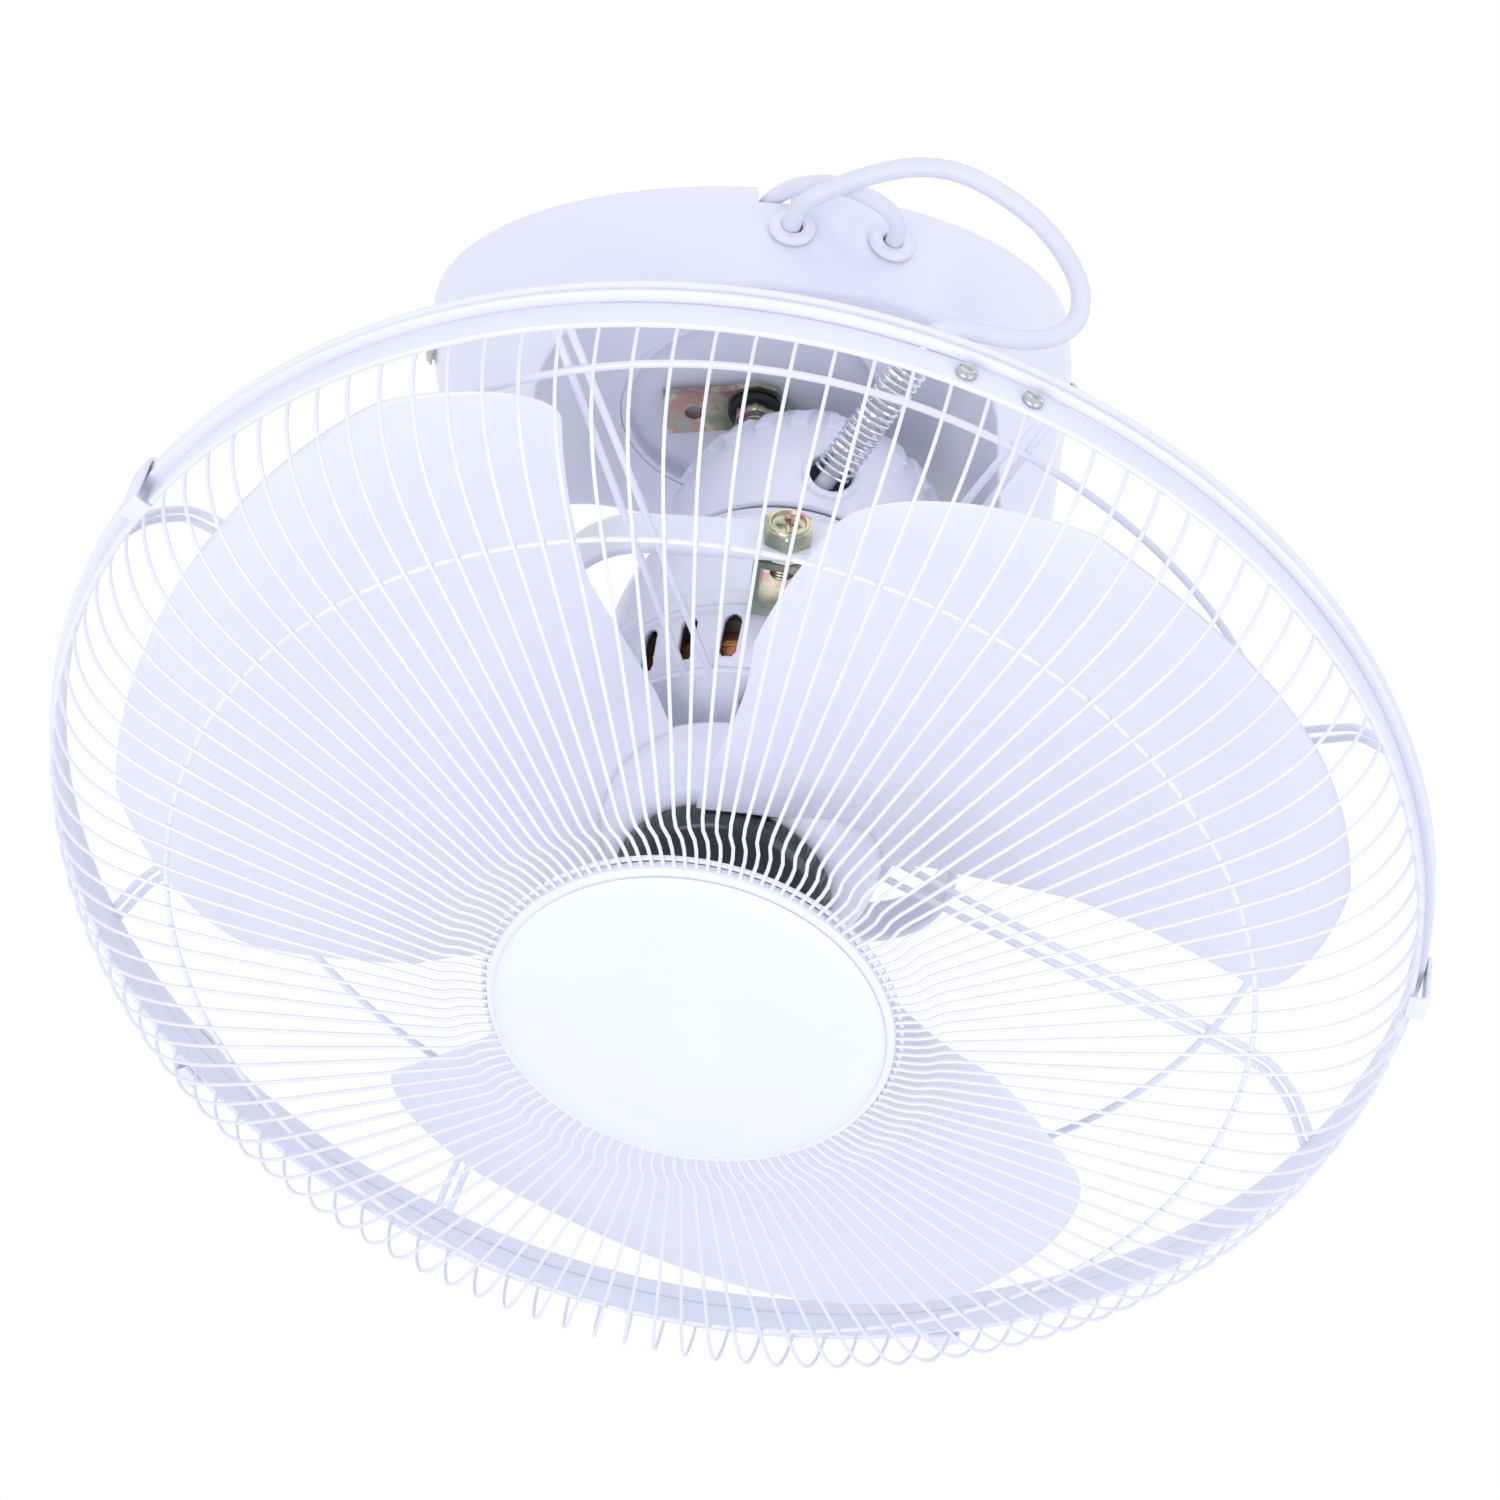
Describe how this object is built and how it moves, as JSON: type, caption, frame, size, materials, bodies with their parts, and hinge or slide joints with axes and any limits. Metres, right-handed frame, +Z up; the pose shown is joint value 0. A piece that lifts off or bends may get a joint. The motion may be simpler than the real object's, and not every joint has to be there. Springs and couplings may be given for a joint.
{
  "type": "orbital ceiling fan",
  "caption": "White caged fan head hung in a gimbal ring under a yoke-shaped ceiling canopy; it spins its blades while the whole head tips and orbits, fed by a sprung flexible cord",
  "frame": {"origin": "centre of the ceiling face, on the top of the ceiling plate", "axes": "+Z up into the ceiling; X runs from arm to arm of the canopy; -Y is the side with the two cord grommets, where the picture was taken from"},
  "size_m": [0.4404, 0.4415, 0.3396],
  "materials": {
    "shell_white": "smooth glossy white moulding with a faint blue cast",
    "enamel_white": "white powder-coated steel wire and strip",
    "blade_white": "thin translucent white moulded blades",
    "zinc": "yellow zinc-plated steel",
    "steel": "plain bright steel",
    "spring_steel": "nickel-plated spring wire",
    "black_plastic": "glossy black moulding",
    "black_rubber": "matt black rubber",
    "nylon": "natural nylon",
    "copper": "varnished copper windings, drawn as closed rings",
    "laminations": "stacked electrical steel",
    "bronze": "sintered bronze bushing",
    "cord_white": "white PVC sheathed flexible cord"
  },
  "bodies": {
    "canopy_body": {"ceiling_plate": "steel", "canopy": "shell_white", "yoke_frame": "steel", "centre_stud": "zinc", "stud_spacer": "steel", "crank_spacer": "nylon", "centre_bush": "black_rubber", "centre_nut": "zinc", "terminal_block": "nylon", "head_cord_grommet": "shell_white", "supply_cord_grommet": "shell_white", "canopy_screw_left": "steel", "canopy_screw_right": "steel", "roll_bolt_left": "zinc", "roll_bolt_right": "zinc", "roll_bush_left": "nylon", "roll_bush_right": "nylon", "supply_cord": "cord_white", "head_cord_loop": "cord_white"},
    "crank_body": {"crank_plate": "zinc", "crank_pin": "steel"},
    "gimbal_body": {"gimbal_ring": "enamel_white", "pitch_bolt_near": "zinc", "pitch_bolt_far": "zinc", "pitch_bush_near": "nylon", "pitch_bush_far": "nylon"},
    "head_body": {"motor_front_cover": "shell_white", "motor_rear_cover": "shell_white", "pivot_bracket_near": "zinc", "pivot_bracket_far": "zinc", "stator_core": "laminations", "stator_winding_front": "copper", "stator_winding_rear": "copper", "bearing_front": "bronze", "bearing_rear": "bronze", "gear_bracket": "steel", "gearbox_cover": "shell_white", "tail_stud": "steel", "rear_rim": "enamel_white", "rear_ring": "enamel_white", "front_band": "enamel_white", "rear_guard": "enamel_white", "guard_nut": "shell_white", "front_guard": "enamel_white", "badge": "shell_white", "guard_clip_1": "enamel_white", "guard_clip_2": "enamel_white", "guard_clip_3": "enamel_white", "guard_clip_4": "enamel_white", "band_screw_1": "steel", "band_screw_2": "steel", "cord_spring": "spring_steel", "cord_clip": "steel", "head_cord_sleeved": "cord_white"},
    "rotor_body": {"rotor_shaft": "steel", "rotor_core": "laminations", "worm": "steel", "blade_set": "blade_white", "spinner_nut": "black_plastic"},
    "worm_wheel_body": {"worm_wheel": "nylon"}
  },
  "joints": [
    {"name": "orbit_crank", "type": "hinge", "parent": "canopy_body", "child": "crank_body", "pos_m": [0, 0, -0.0455], "axis": [0, 0, 1], "continuous": true},
    {"name": "gimbal_roll", "type": "hinge", "parent": "canopy_body", "child": "gimbal_body", "pos_m": [0, 0, -0.192], "axis": [1, 0, 0], "range_deg": [-7, 23], "deforming": ["head_cord_loop"]},
    {"name": "head_pitch", "type": "hinge", "parent": "gimbal_body", "child": "head_body", "pos_m": [0, 0, -0.192], "axis": [0, 0.9903, -0.1392], "range_deg": [-26, 4], "deforming": ["head_cord_loop"]},
    {"name": "rotor_spin", "type": "hinge", "parent": "head_body", "child": "rotor_body", "pos_m": [0, 0, -0.192], "axis": [0.1908, 0.1366, 0.9721], "continuous": true},
    {"name": "worm_wheel_turn", "type": "hinge", "parent": "head_body", "child": "worm_wheel_body", "pos_m": [0.01527, 0.03054, -0.11699], "axis": [0.9816, -0.0266, -0.189], "continuous": true}
  ],
  "couplings": [
    {"joint": "worm_wheel_turn", "follows": "rotor_spin", "ratio": 0.05}
  ]
}
